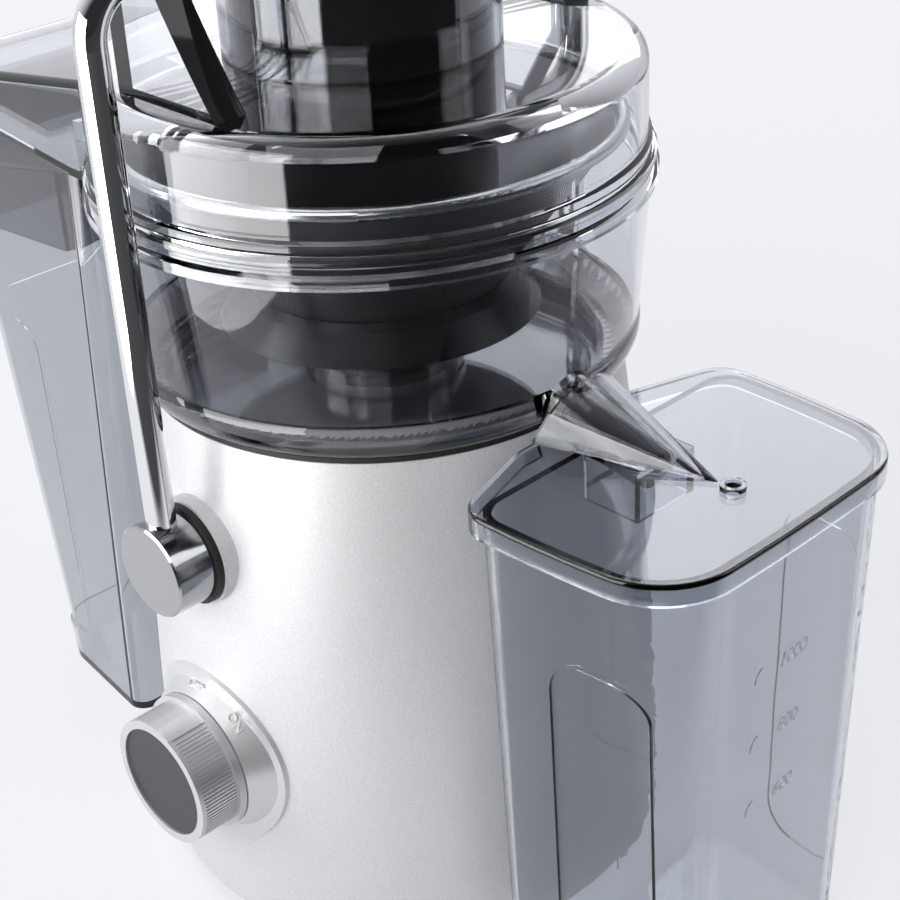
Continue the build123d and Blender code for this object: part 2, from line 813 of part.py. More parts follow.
skirt_form = side_form(
    [
        (skirt_near_x, skirt_low),
        (skirt_far_x, skirt_low - skirt_fall),
        (skirt_far_x, shelf_far_low + chute_wall),
        (skirt_near_x, shelf_far_low + chute_wall),
    ],
    skirt_half,
    0,
)
skirt_hollow = side_form(
    [
        (skirt_near_x - chute_wall, skirt_low - 2 * skirt_fall),
        (skirt_far_x + chute_wall, skirt_low - 2 * skirt_fall),
        (skirt_far_x + chute_wall, shelf_far_low + 2 * chute_wall),
        (skirt_near_x - chute_wall, shelf_far_low + 2 * chute_wall),
    ],
    skirt_half - chute_wall,
    0,
)

with BuildPart() as lid:
    # Outer form of the drum and its stepped flange
    with BuildSketch(Plane.XZ):
        with BuildLine():
            Polyline(
                (0, lid_low),
                (lid_flange_radius, lid_low),
                (lid_flange_radius, lid_low + 3.2),
                (lid_flange_radius - 1.6, lid_low + 4.2),
                (lid_flange_radius - 1.6, lid_low + 6),
                (lid_flange_radius - 0.8, lid_low + 6.8),
                (lid_flange_radius - 0.8, lid_low + 9.2),
                (lid_flange_radius - 2.2, lid_low + 10.4),
                (lid_flange_radius - 2.2, flange_top - 1),
                (lid_drum_radius, flange_top),
                (lid_drum_radius, lid_top - lid_edge_round),
            )
            corner = TangentArc(
                (lid_drum_radius, lid_top - lid_edge_round),
                (lid_drum_radius - lid_edge_round, lid_top),
                tangent=(0, 1),
            )
            Polyline(corner @ 1, (0, lid_top), (0, lid_low))
        make_face()
    revolve(axis=Axis.Z)
    # Sloping chute cover with an apron round the container's rim, and room for the rim to tilt
    add(chute_cover)
    roof_faces = lid.faces().filter_by(lambda face: face.center().X < -lid_flange_radius)
    roof_edges = roof_faces.sort_by(Axis.Z)[-1].edges()
    fillet(roof_edges.filter_by(lambda edge: edge.center().X < -lid_flange_radius), chute_edge_round)
    add(container_room, mode=Mode.SUBTRACT)
    # Skirt that reaches down into the pulp container
    add(skirt_form)
    # Feed tube
    ring(feed_tube_radius, 0, lid_top - lid_wall, feed_tube_top)
    ring(feed_tube_radius + feed_tube_lip, 0, feed_tube_top - feed_tube_lip, feed_tube_top)
    # Ramped lugs that the bail's crossbar slides up on to, at the front and the back
    lug_low = lid_top - lid_edge_round
    for lug_face in (lug_centre_y - lug_width / 2, -lug_centre_y - lug_width / 2):
        with BuildSketch(Plane.XZ.offset(lug_face)):
            with BuildLine():
                ramp = ThreePointArc(
                    (lug_ramp_x, lug_low),
                    (lug_ramp_x * 0.42, (lug_top + lid_top) / 2),
                    (bail_rod_radius / 2, lug_top),
                )
                Polyline(ramp @ 1, (lug_back_x, lug_top), (lug_back_x, lug_low), ramp @ 0)
            make_face()
        extrude(amount=lug_width)
    # Hollows: the bowl's place below, the drum, the chute, the skirt and the feed tube
    ring(bowl_upper_radius + slide_gap, 0, 0, lid_low, mode=Mode.SUBTRACT)
    ring(lid_skirt_inner, 0, lid_low, lid_seat, mode=Mode.SUBTRACT)
    ring(lid_inner_radius, 0, lid_seat, lid_top - lid_edge_round, mode=Mode.SUBTRACT)
    ring(lid_inner_radius - 4, 0, lid_seat, lid_top - lid_wall, mode=Mode.SUBTRACT)
    ring(feed_bore, 0, lid_low, feed_tube_top, mode=Mode.SUBTRACT)
    add(chute_hollow, mode=Mode.SUBTRACT)
    add(skirt_hollow, mode=Mode.SUBTRACT)


# Pulp container
def pulp_outline(height, inset):
    """Sketch of the container's section at a height, drawn in by inset."""
    share = height / pulp_rim_height
    near = pulp_floor_near_x + share * (pulp_rim_near_x - pulp_floor_near_x) - inset
    far = pulp_floor_far_x + share * (pulp_rim_far_x - pulp_floor_far_x) + inset
    near_half = pulp_floor_near_half + share * (pulp_rim_near_half - pulp_floor_near_half) - inset
    far_half = pulp_floor_far_half + share * (pulp_rim_far_half - pulp_floor_far_half) - inset
    with BuildSketch(Plane.XY.offset(height)) as section:
        with BuildLine() as outline:
            Polyline((near, -near_half), (near, near_half), (far, far_half), (far, -far_half), close=True)
        make_face(outline.edges())
        fillet(section.vertices().group_by(Axis.X)[-1], pulp_near_corner - inset)
        fillet(section.vertices().group_by(Axis.X)[0], pulp_far_corner - inset)
    return section.sketch


def side_panel(near_x, far_x, low, top):
    """Upright block with rounded corners in side view, to cut a recessed panel with."""
    with BuildSketch(Plane.XZ) as section:
        with Locations(((near_x + far_x) / 2, (low + top) / 2)):
            RectangleRounded(abs(far_x - near_x), top - low, panel_corner)
    extrude(section.sketch, amount=base_radius, both=True)


with BuildPart(mode=Mode.PRIVATE) as pulp_panel:
    side_panel(pulp_panel_x, 2 * pulp_rim_far_x - pulp_panel_x, pulp_panel_low, pulp_panel_top)
    loft([pulp_outline(0, panel_depth), pulp_outline(pulp_rim_height, panel_depth)], mode=Mode.SUBTRACT)

with BuildPart() as pulp_container:
    loft([pulp_outline(0, 0), pulp_outline(pulp_rim_height, 0)])
    loft([pulp_outline(pulp_wall, pulp_wall), pulp_outline(pulp_rim_height, pulp_wall)], mode=Mode.SUBTRACT)
    # Panel set back round the far end
    add(pulp_panel.part, mode=Mode.SUBTRACT)

# Food pusher, a deep cup that hangs in the feed tube by its flange
pusher_radius = feed_bore - 1.4 * slide_gap
pusher_top = feed_tube_top + pusher_flange_height

with BuildPart() as food_pusher:
    ring(pusher_radius, 0, pusher_low, pusher_top)
    fillet(food_pusher.edges().sort_by(Axis.Z)[0], 4)
    ring(feed_tube_radius + pusher_flange, 0, feed_tube_top, pusher_top)
    fillet(food_pusher.edges().sort_by(Axis.Z)[-1], 3)
    ring(pusher_radius - pusher_wall, 0, pusher_low + pusher_wall, pusher_top, mode=Mode.SUBTRACT)

# Locking bail
rod_low = bail_pivot_height + bail_pin_radius

with BuildPart() as bail_rod:
    with BuildLine() as bail_path:
        FilletPolyline(
            (0, -bail_leg_y, rod_low),
            (0, -bail_leg_y, bail_height),
            (0, -bail_leg_y + 2 * bail_bend, bail_height),
            (bail_loop_x, -bail_loop_half, bail_height),
            (bail_loop_x, bail_loop_half, bail_height),
            (0, bail_leg_y - 2 * bail_bend, bail_height),
            (0, bail_leg_y, bail_height),
            (0, bail_leg_y, rod_low),
            radius=bail_bend * 0.9,
        )
    with BuildSketch(Plane.XY.offset(rod_low)):
        with Locations((0, -bail_leg_y)):
            Circle(bail_rod_radius)
    sweep(path=bail_path.line)

with BuildPart() as pivot_boss_front:
    front_disc(bail_boss_radius, boss_rear_y, boss_front_y, bail_pivot_height)
    chamfer(pivot_boss_front.edges().sort_by(Axis.Y)[0], 0.6)
    front_disc(bail_pin_radius, -bail_pin_reach, boss_rear_y, bail_pivot_height)
    with BuildSketch(Plane.XY.offset(rod_low)):
        with Locations((0, -bail_leg_y)):
            Circle(bail_rod_radius + seat_gap)
    extrude(amount=bail_boss_radius, mode=Mode.SUBTRACT)

with BuildPart() as pivot_boss_rear:
    mirror(pivot_boss_front.part, about=Plane.XZ)

with BuildPart() as pivot_washers:
    front_disc(washer_radius, pad_front_y, washer_front_y, bail_pivot_height)
    bush_outer = bail_pin_radius + run_gap + bush_wall
    front_disc(bush_outer + seat_gap, 0, boss_rear_y, bail_pivot_height, mode=Mode.SUBTRACT)
    mirror(about=Plane.XZ)

with BuildPart() as pivot_bushes:
    bush_rear_y = -bail_pin_reach - clip_thickness - 2 * slide_gap
    front_disc(bush_outer, bush_rear_y, washer_front_y, bail_pivot_height)
    front_disc(bail_pin_radius + run_gap, 0, boss_rear_y, bail_pivot_height, mode=Mode.SUBTRACT)
    mirror(about=Plane.XZ)

with BuildPart() as pivot_clips:
    clip_front_y = -bail_pin_reach - clip_thickness - slide_gap
    front_disc(clip_radius, clip_front_y + clip_thickness, clip_front_y, bail_pivot_height)
    front_disc(bail_pin_radius + seat_gap, 0, clip_front_y, bail_pivot_height, mode=Mode.SUBTRACT)
    mirror(about=Plane.XZ)

with BuildPart() as interlock_switch:
    with BuildSketch(front_plane(interlock_y + 8, bail_pivot_height, interlock_x)):
        Rectangle(24, 16)
    extrude(amount=8)
    with BuildSketch(front_plane(interlock_y + 6, bail_pivot_height, interlock_x)):
        with Locations((-14, 3)):
            Rectangle(6, 1.2)
    extrude(amount=4)

# Dial
with BuildPart() as dial_bezel:
    # Edge plate that follows the body's curve, then the cone up to the knob
    front_disc(bezel_radius, 0, -2 * base_radius, dial_height)
    add(body_raised, mode=Mode.INTERSECT)
    add(body_outside, mode=Mode.SUBTRACT)
    with BuildSketch(front_plane(bezel_front_y + 10, dial_height)):
        Circle(bezel_radius - 1.4)
    with BuildSketch(front_plane(bezel_front_y, dial_height)):
        Circle(bezel_hub_radius)
    loft()
    add(body_outside, mode=Mode.SUBTRACT)
    front_disc(bezel_tube_radius, bezel_rear_y, bezel_front_y, dial_height)
    front_disc(bezel_tube_radius - 3, bezel_rear_y, bezel_front_y + 3, dial_height, mode=Mode.SUBTRACT)
    front_disc(spindle_radius + run_gap, 0, bezel_front_y, dial_height, mode=Mode.SUBTRACT)

knob_rear_y = bezel_front_y - slide_gap
collar_front_y = knob_rear_y - knob_collar_length

with BuildPart() as dial_knob:
    front_disc(knob_collar_radius, knob_rear_y, collar_front_y, dial_height)
    front_disc(knob_radius - knob_rib_depth, collar_front_y, knob_front_y, dial_height)
    with BuildSketch(front_plane(collar_front_y, dial_height)):
        rib_sector = 360 - knob_pointer_sector
        rib_start = 90 + knob_pointer_sector / 2
        with PolarLocations(knob_radius - knob_rib_depth, knob_ribs, rib_start, rib_sector):
            Rectangle(2 * knob_rib_depth, 0.8)
    extrude(amount=collar_front_y - knob_front_y - 1.6)
    front_disc(knob_radius, knob_front_y + 1.6, knob_front_y, dial_height)
    # Raised flat pointer at the top
    with BuildSketch(front_plane(collar_front_y, dial_height)):
        with Locations((0, knob_radius - 1.2)):
            Rectangle(2 * knob_radius * sin(radians(knob_pointer_sector / 2)), 2.8)
        Circle(knob_radius + 0.3, mode=Mode.INTERSECT)
    extrude(amount=collar_front_y - knob_front_y)
    insert_back_y = knob_front_y + insert_depth
    front_disc(insert_radius + seat_gap, insert_back_y, knob_front_y, dial_height, mode=Mode.SUBTRACT)
    front_disc(spindle_radius + seat_gap, knob_rear_y, knob_rear_y - 10, dial_height, mode=Mode.SUBTRACT)

with BuildPart() as dial_insert:
    front_disc(insert_radius, knob_front_y + insert_depth, knob_front_y + 0.8, dial_height)

with BuildPart() as dial_spindle:
    front_disc(spindle_radius, bezel_rear_y - 1, knob_rear_y - 10 + seat_gap, dial_height)

with BuildPart() as rotary_switch:
    with BuildSketch(front_plane(bezel_rear_y + switch_depth, dial_height)):
        RectangleRounded(switch_side, switch_side, 3)
    extrude(amount=switch_depth)
    front_disc(bezel_tube_radius - 3 - seat_gap, bezel_rear_y, bezel_rear_y - 3, dial_height)
    front_disc(spindle_radius + run_gap, bezel_rear_y, bezel_rear_y - 4, dial_height, mode=Mode.SUBTRACT)

# Jug
def jug_bowed_sides(grow):
    """Lines of the jug's two long sides and its outer side at the rim, each slightly bowed, moved out."""
    near_x = jug_near_x - grow
    far_x = jug_far_x + grow
    near_half = jug_near_half + grow
    far_half = jug_far_half + grow
    middle_x = (near_x + far_x) / 2
    middle_half = (near_half + far_half) / 2 + jug_bulge
    ThreePointArc((near_x, -near_half), (middle_x, -middle_half), (far_x, -far_half))
    ThreePointArc((far_x, -far_half), (far_x + jug_bulge, 0), (far_x, far_half))
    ThreePointArc((far_x, far_half), (middle_x, middle_half), (near_x, near_half))


def jug_outline(height, inset):
    """Sketch of the jug's section at a height, drawn in by inset: flat and wide at the body's side."""
    grow = -jug_draft * (1 - height / jug_rim_height) - inset
    near_x = jug_near_x - grow
    near_half = jug_near_half + grow
    with BuildSketch(Plane.XY.offset(height)) as section:
        with BuildLine() as outline:
            jug_bowed_sides(grow)
            Line((near_x, near_half), (near_x, -near_half))
        make_face(outline.edges())
        fillet(section.vertices().group_by(Axis.X)[0], jug_near_corner + grow)
        fillet(section.vertices().group_by(Axis.X)[-1], jug_far_corner + grow)
    return section.sketch


with BuildPart(mode=Mode.PRIVATE) as jug_panels:
    side_panel(jug_panel_near_x, jug_panel_far_x, jug_panel_low, jug_panel_top)
    loft([jug_outline(0, panel_depth), jug_outline(jug_rim_height, panel_depth)], mode=Mode.SUBTRACT)

with BuildPart() as juice_jug:
    loft([jug_outline(0, 0), jug_outline(jug_rim_height, 0)])
    loft([jug_outline(jug_wall, jug_wall), jug_outline(jug_rim_height, jug_wall)], mode=Mode.SUBTRACT)
    # Panels set back in both sides
    add(jug_panels.part, mode=Mode.SUBTRACT)
    # Notch that lets the spout in
    with BuildSketch(Plane.XY.offset(spout_tip_z - spout_tip_radius - 2)):
        with Locations((jug_near_x, 0)):
            Rectangle(6 * jug_wall, 2 * drip_half_width)
    extrude(amount=jug_rim_height, mode=Mode.SUBTRACT)

jug_lid_low = jug_rim_height + slide_gap
jug_lid_top = jug_lid_low + jug_lid_thickness
hood_axis_z = jug_lid_top - jug_lid_thickness / 4


def jug_lid_face(height, grow):
    """Sketch of the lid's plan: the jug's outline grown, with a blunt nose towards the body."""
    near_x = jug_near_x - grow
    near_half = jug_near_half + grow
    nose_x = jug_nose_x + jug_lid_overlap - grow
    with BuildSketch(Plane.XY.offset(height)) as section:
        with BuildLine() as outline:
            jug_bowed_sides(grow)
            Polyline(
                (near_x, near_half),
                (nose_x, jug_nose_half + grow),
                (nose_x, -jug_nose_half - grow),
                (near_x, -near_half),
            )
        make_face(outline.edges())
        fillet(section.vertices().group_by(Axis.X)[0], jug_nose_corner + grow)
        near_corners = section.vertices().filter_by(lambda corner: abs(corner.X - near_x) < 0.01)
        fillet(near_corners, jug_near_corner + grow)
        fillet(section.vertices().group_by(Axis.X)[-1], jug_far_corner + grow)
    return section.sketch


def hood_cone(thin, mode=Mode.ADD):
    """Cone about the hood's axis, its surface moved inwards by thin."""
    half_angle = atan2(hood_base_radius, hood_apex_x - hood_base_x)
    apex_x = hood_apex_x - thin / sin(half_angle)
    end_x = jug_nose_x - 1
    with BuildSketch(Plane.XZ) as section:
        with BuildLine():
            Polyline(
                (apex_x, hood_axis_z),
                (end_x, hood_axis_z),
                (end_x, hood_axis_z + (apex_x - end_x) * tan(half_angle)),
                close=True,
            )
        make_face()
    revolve(section.sketch, axis=Axis((0, 0, hood_axis_z), (1, 0, 0)), mode=mode)


with BuildPart(mode=Mode.PRIVATE) as spout_hood:
    # Upper half of a hollow cone, its open end sloped back
    hood_low = jug_lid_low + jug_lid_thickness / 4
    hood_cone(0)
    hood_cone(hood_wall, mode=Mode.SUBTRACT)
    with BuildSketch(Plane.XZ):
        with BuildLine():
            Polyline(
                (jug_nose_x, hood_low),
                (hood_apex_x, hood_low),
                (hood_apex_x, jug_lid_top + hood_base_radius),
                (jug_nose_x + hood_slant, jug_lid_top + hood_base_radius),
                close=True,
            )
        make_face()
    extrude(amount=2 * hood_base_radius, both=True, mode=Mode.INTERSECT)

with BuildPart() as jug_lid:
    skirt_edge = jug_rim_height - jug_lid_skirt
    extrude(jug_lid_face(skirt_edge, jug_lid_overlap), amount=jug_lid_top - skirt_edge)
    fillet(jug_lid.faces().sort_by(Axis.Z)[-1].edges(), jug_lid_thickness / 2)
    inner_face = jug_lid_face(skirt_edge, slide_gap)
    extrude(inner_face, amount=jug_lid_low - skirt_edge, mode=Mode.SUBTRACT)
    # Walls that hang down round the slot, inside the jug
    slot_end_x = spout_tip_x + 2
    drip_low = jug_lid_low - drip_skirt
    drip_near_x = jug_near_x + jug_wall + 1
    with BuildSketch(Plane.XY.offset(drip_low)):
        with Locations(((drip_near_x + slot_end_x + drip_wall) / 2, 0)):
            Rectangle(slot_end_x + drip_wall - drip_near_x, 2 * (drip_half_width + drip_wall))
    extrude(amount=drip_skirt)
    with BuildSketch(Plane.XY.offset(drip_low)):
        with Locations((slot_end_x - jug_near_x, 0)):
            Rectangle(2 * jug_near_x, 2 * drip_half_width)
    extrude(amount=drip_skirt, mode=Mode.SUBTRACT)
    # Hood over the slot that the spout reaches through, and the vent
    add(spout_hood.part)
    with BuildSketch(Plane.XY.offset(jug_lid_low)):
        with BuildLine():
            Polyline(
                (slot_end_x, -slot_end_half),
                (slot_end_x, slot_end_half),
                (jug_nose_x, slot_near_half),
                (jug_nose_x - 1, slot_near_half),
                (jug_nose_x - 1, -slot_near_half),
                (jug_nose_x, -slot_near_half),
                close=True,
            )
        make_face()
    extrude(amount=jug_lid_thickness - (jug_lid_top - hood_axis_z), mode=Mode.SUBTRACT)
    hood_cone(hood_wall, mode=Mode.SUBTRACT)
    ring_plane = Plane((vent_x, 0, jug_lid_top))
    with BuildSketch(ring_plane):
        Circle(vent_radius)
    extrude(amount=vent_height)
    with BuildSketch(ring_plane.offset(-2 * jug_lid_thickness)):
        Circle(vent_radius - vent_wall)
    extrude(amount=2 * jug_lid_thickness + vent_height, mode=Mode.SUBTRACT)

pieces = {
    "body_shell": body_shell,
    "base_plate": base_plate,
    "rubber_feet": rubber_feet,
    "base_screws": base_screws,
    "top_deck": top_deck,
    "seam_gasket": seam_gasket,
    "shaft_seal": shaft_seal,
    "cord_gland": cord_gland,
    "upper_bracket": upper_bracket,
    "lower_bracket": lower_bracket,
    "motor_grommets": motor_grommets,
    "motor_screws": motor_screws,
    "stator_core": stator_core,
    "field_coils": field_coils,
    "upper_bearing": upper_bearing,
    "lower_bearing": lower_bearing,
    "tie_bolts": tie_bolts,
    "brush_holders": brush_holders,
    "carbon_brushes": carbon_brushes,
    "motor_shaft": motor_shaft,
    "armature_core": armature_core,
    "armature_windings": armature_windings,
    "commutator": commutator,
    "cooling_fan": cooling_fan,
    "drive_coupling": drive_coupling,
    "basket_carrier": basket_carrier,
    "grater_disc": grater_disc,
    "filter_basket": filter_basket,
    "basket_rim": basket_rim,
    "juice_bowl": juice_bowl,
    "lid_seal": lid_seal,
    "lid": lid,
    "pulp_container": pulp_container,
    "food_pusher": food_pusher,
    "bail_rod": bail_rod,
    "pivot_boss_front": pivot_boss_front,
    "pivot_boss_rear": pivot_boss_rear,
    "pivot_washers": pivot_washers,
    "pivot_bushes": pivot_bushes,
    "pivot_clips": pivot_clips,
    "interlock_switch": interlock_switch,
    "dial_bezel": dial_bezel,
    "dial_knob": dial_knob,
    "dial_insert": dial_insert,
    "dial_spindle": dial_spindle,
    "rotary_switch": rotary_switch,
    "juice_jug": juice_jug,
    "jug_lid": jug_lid,
}

for name, piece in pieces.items():
    piece.part.label = name
    export_step(piece.part, f"parts/{name}.step")
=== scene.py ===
import json
import math

import bpy
from mathutils import Matrix, Vector


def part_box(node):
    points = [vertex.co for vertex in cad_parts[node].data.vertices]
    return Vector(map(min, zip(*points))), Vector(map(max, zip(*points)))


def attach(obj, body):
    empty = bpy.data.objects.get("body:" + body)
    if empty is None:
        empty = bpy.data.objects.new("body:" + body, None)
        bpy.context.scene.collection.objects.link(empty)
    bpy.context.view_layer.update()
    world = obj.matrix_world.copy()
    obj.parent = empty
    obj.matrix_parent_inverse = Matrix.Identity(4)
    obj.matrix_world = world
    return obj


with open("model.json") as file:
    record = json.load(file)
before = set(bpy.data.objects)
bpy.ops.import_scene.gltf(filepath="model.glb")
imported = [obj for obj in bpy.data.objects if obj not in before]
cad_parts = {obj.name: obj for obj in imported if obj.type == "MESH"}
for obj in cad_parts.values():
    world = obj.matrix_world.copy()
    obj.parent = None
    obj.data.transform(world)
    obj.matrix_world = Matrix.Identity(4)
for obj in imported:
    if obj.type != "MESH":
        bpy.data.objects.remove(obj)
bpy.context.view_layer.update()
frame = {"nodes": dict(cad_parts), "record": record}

MM = 0.001
nodes = frame["nodes"]
scene = bpy.context.scene
scene.view_settings.view_transform = "Standard"

FLOAT = "NodeSocketFloat"
COLOUR = "NodeSocketColor"
# The colour sockets of a Mix node: two that enter and one that leaves
MIX_FIRST, MIX_SECOND, MIX_RESULT = 6, 7, 2


# Nodes that the groups and the materials are made of
def add_node(tree, kind, **values):
    node = tree.nodes.new(kind)
    for key, value in values.items():
        setattr(node, key, value)
    return node


def feed(tree, socket, value):
    """Set a socket to a number or a colour, or link it to another node."""
    if isinstance(value, (int, float, tuple)):
        socket.default_value = value
    else:
        tree.links.new(value, socket)


def noise(tree, coords, scale, detail):
    node = add_node(tree, "ShaderNodeTexNoise")
    feed(tree, node.inputs["Scale"], scale)
    feed(tree, node.inputs["Detail"], detail)
    feed(tree, node.inputs["Vector"], coords)
    return node.outputs["Fac"]


def maths(tree, operation, first, second=0.0):
    node = add_node(tree, "ShaderNodeMath", operation=operation)
    feed(tree, node.inputs[0], first)
    feed(tree, node.inputs[1], second)
    return node.outputs[0]


def spread(tree, value, low, high, from_low=0.0, from_high=1.0):
    """Goes from low to high while the value goes from from_low to from_high."""
    node = add_node(tree, "ShaderNodeMapRange")
    feed(tree, node.inputs["Value"], value)
    feed(tree, node.inputs["From Min"], from_low)
    feed(tree, node.inputs["From Max"], from_high)
    feed(tree, node.inputs["To Min"], low)
    feed(tree, node.inputs["To Max"], high)
    return node.outputs["Result"]


def tint(tree, factor, first, second):
    """A colour between two others."""
    node = add_node(tree, "ShaderNodeMix", data_type="RGBA")
    feed(tree, node.inputs["Factor"], factor)
    feed(tree, node.inputs[MIX_FIRST], first)
    feed(tree, node.inputs[MIX_SECOND], second)
    return node.outputs[MIX_RESULT]


def piece_coords(tree):
    return add_node(tree, "ShaderNodeTexCoord").outputs["Object"]


def piece_axes(tree):
    """The three parts of the piece's own coordinates."""
    parts = add_node(tree, "ShaderNodeSeparateXYZ")
    feed(tree, parts.inputs[0], piece_coords(tree))
    return parts.outputs


# Shared effects, each a node group with its own inputs
FLECK_SCALE, FLECK_DETAIL = 2600.0, 1.0
FLECK_CONTRAST = (-0.6, 1.6)
SHEEN_SCALE, SHEEN_DETAIL = 60.0, 3.0
CLOUD_SCALE, CLOUD_DETAIL = 25.0, 4.0
STREAK_SCALE, STREAK_DETAIL = 140.0, 2.0


def new_group(name, inputs, outputs):
    """A node group, the sockets that its values enter by, and those they leave by."""
    group = bpy.data.node_groups.new(name, "ShaderNodeTree")
    for socket, kind, value in inputs:
        made = group.interface.new_socket(socket, in_out="INPUT", socket_type=kind)
        made.default_value = value
    for socket, kind in outputs:
        group.interface.new_socket(socket, in_out="OUTPUT", socket_type=kind)
    entry = group.nodes.new("NodeGroupInput")
    leave = group.nodes.new("NodeGroupOutput")
    return group, entry.outputs, leave.inputs


def fine_grain_group():
    """Fine flecks of paint or moulding: a colour, a roughness and a height."""
    group, entry, leave = new_group(
        "fine_grain",
        [
            ("Dark", COLOUR, (0.5, 0.5, 0.5, 1)),
            ("Light", COLOUR, (0.7, 0.7, 0.7, 1)),
            ("Size", FLOAT, 1.0),
            ("Rough Low", FLOAT, 0.3),
            ("Rough High", FLOAT, 0.4),
        ],
        [("Color", COLOUR), ("Roughness", FLOAT), ("Height", FLOAT)],
    )
    scaled = add_node(group, "ShaderNodeVectorMath", operation="SCALE")
    feed(group, scaled.inputs[0], piece_coords(group))
    feed(group, scaled.inputs["Scale"], entry["Size"])
    flecks = noise(group, scaled.outputs[0], FLECK_SCALE, FLECK_DETAIL)
    sheen = noise(group, scaled.outputs[0], SHEEN_SCALE, SHEEN_DETAIL)
    sharp = spread(group, flecks, *FLECK_CONTRAST)
    feed(group, leave["Color"], tint(group, sharp, entry["Dark"], entry["Light"]))
    feed(group, leave["Roughness"], spread(group, sheen, entry["Rough Low"], entry["Rough High"]))
    feed(group, leave["Height"], flecks)
    return group


def handling_group():
    """Faint smears from wiping and handling: a roughness and a mask."""
    group, entry, leave = new_group(
        "handling",
        [("Clean", FLOAT, 0.03), ("Smeared", FLOAT, 0.12)],
        [("Roughness", FLOAT), ("Mask", FLOAT)],
    )
    coords = piece_coords(group)
    clouds = noise(group, coords, CLOUD_SCALE, CLOUD_DETAIL)
    streaks = noise(group, coords, STREAK_SCALE, STREAK_DETAIL)
    mask = maths(group, "MULTIPLY", clouds, streaks)
    feed(group, leave["Mask"], mask)
    feed(group, leave["Roughness"], spread(group, mask, entry["Clean"], entry["Smeared"]))
    return group


def turned_lines_group():
    """Fine turning or stamping lines round the Z axis: a roughness and a height."""
    group, entry, leave = new_group(
        "turned_lines",
        [("Pitch", FLOAT, 1500.0), ("Rough Low", FLOAT, 0.2), ("Rough High", FLOAT, 0.3)],
        [("Roughness", FLOAT), ("Height", FLOAT)],
    )
    x, y, z = piece_axes(group)
    square_x = maths(group, "POWER", x, 2.0)
    square_y = maths(group, "POWER", y, 2.0)
    from_axis = maths(group, "SQRT", maths(group, "ADD", square_x, square_y))
    lines = add_node(group, "ShaderNodeTexNoise", noise_dimensions="1D")
    feed(group, lines.inputs["W"], maths(group, "ADD", from_axis, z))
    feed(group, lines.inputs["Scale"], entry["Pitch"])
    height = lines.outputs["Fac"]
    feed(group, leave["Roughness"], spread(group, height, entry["Rough Low"], entry["Rough High"]))
    feed(group, leave["Height"], height)
    return group


def mesh_holes_group():
    """Rows of etched holes round a cone: a mask that is 1 in a hole."""
    group, entry, leave = new_group(
        "mesh_holes",
        [("Round", FLOAT, 260.0), ("Rows", FLOAT, 900.0), ("Open", FLOAT, 0.2)],
        [("Mask", FLOAT)],
    )
    x, y, z = piece_axes(group)
    turn = maths(group, "ARCTAN2", y, x)
    column = maths(group, "SINE", maths(group, "MULTIPLY", turn, entry["Round"]))
    row = maths(group, "SINE", maths(group, "MULTIPLY", z, entry["Rows"]))
    both = maths(group, "MULTIPLY", column, row)
    feed(group, leave["Mask"], maths(group, "GREATER_THAN", both, entry["Open"]))
    return group


fine_grain = fine_grain_group()
handling = handling_group()
turned_lines = turned_lines_group()
mesh_holes = mesh_holes_group()


# Materials
TURNED_DEPTH = 0.03 * MM
MESH_STEEL = (0.52, 0.525, 0.535, 1)
MESH_HOLE = (0.005, 0.005, 0.005, 1)
MESH_ROUGH = (0.28, 0.9)
MESH_DEPTH = 0.2 * MM
PLASTIC_IOR = 1.49
PLASTIC_ROUGH = (0.0, 0.06)
# Share of the smoke tint where clear plastic is thin and where it is thick
THIN_TINT, THICK_TINT = 1.02, 0.96


def new_material(name, **sockets):
    material = bpy.data.materials.new(name)
    material.use_nodes = True
    shader = material.node_tree.nodes["Principled BSDF"]
    for socket, value in sockets.items():
        shader.inputs[socket.replace("_", " ")].default_value = value
    return material, material.node_tree, shader.inputs


def place_group(tree, group, **values):
    node = add_node(tree, "ShaderNodeGroup", node_tree=group)
    for socket, value in values.items():
        node.inputs[socket.replace("_", " ")].default_value = value
    return node.outputs


def bump(tree, shader, height, depth):
    node = add_node(tree, "ShaderNodeBump")
    feed(tree, node.inputs["Distance"], depth)
    feed(tree, node.inputs["Strength"], 1.0)
    feed(tree, node.inputs["Height"], height)
    feed(tree, shader["Normal"], node.outputs["Normal"])


def grained(name, dark, light, size, rough, depth, **sockets):
    """A painted or moulded finish with fine flecks."""
    material, tree, shader = new_material(name, **sockets)
    flecks = place_group(
        tree, fine_grain,
        Dark=(*dark, 1), Light=(*light, 1), Size=size, Rough_Low=rough[0], Rough_High=rough[1],
    )
    feed(tree, shader["Base Color"], flecks["Color"])
    feed(tree, shader["Roughness"], flecks["Roughness"])
    bump(tree, shader, flecks["Height"], depth)
    return material


def polished(name, colour, rough, **sockets):
    """A bright finish with faint smears."""
    material, tree, shader = new_material(name, Base_Color=(*colour, 1), **sockets)
    smears = place_group(tree, handling, Clean=rough[0], Smeared=rough[1])
    feed(tree, shader["Roughness"], smears["Roughness"])
    return material


def turned(name, colour, pitch, rough):
    """Metal with fine lines round the motor axis."""
    material, tree, shader = new_material(name, Base_Color=(*colour, 1), Metallic=1.0)
    lines = place_group(tree, turned_lines, Pitch=pitch, Rough_Low=rough[0], Rough_High=rough[1])
    feed(tree, shader["Roughness"], lines["Roughness"])
    bump(tree, shader, lines["Height"], TURNED_DEPTH)
    return material


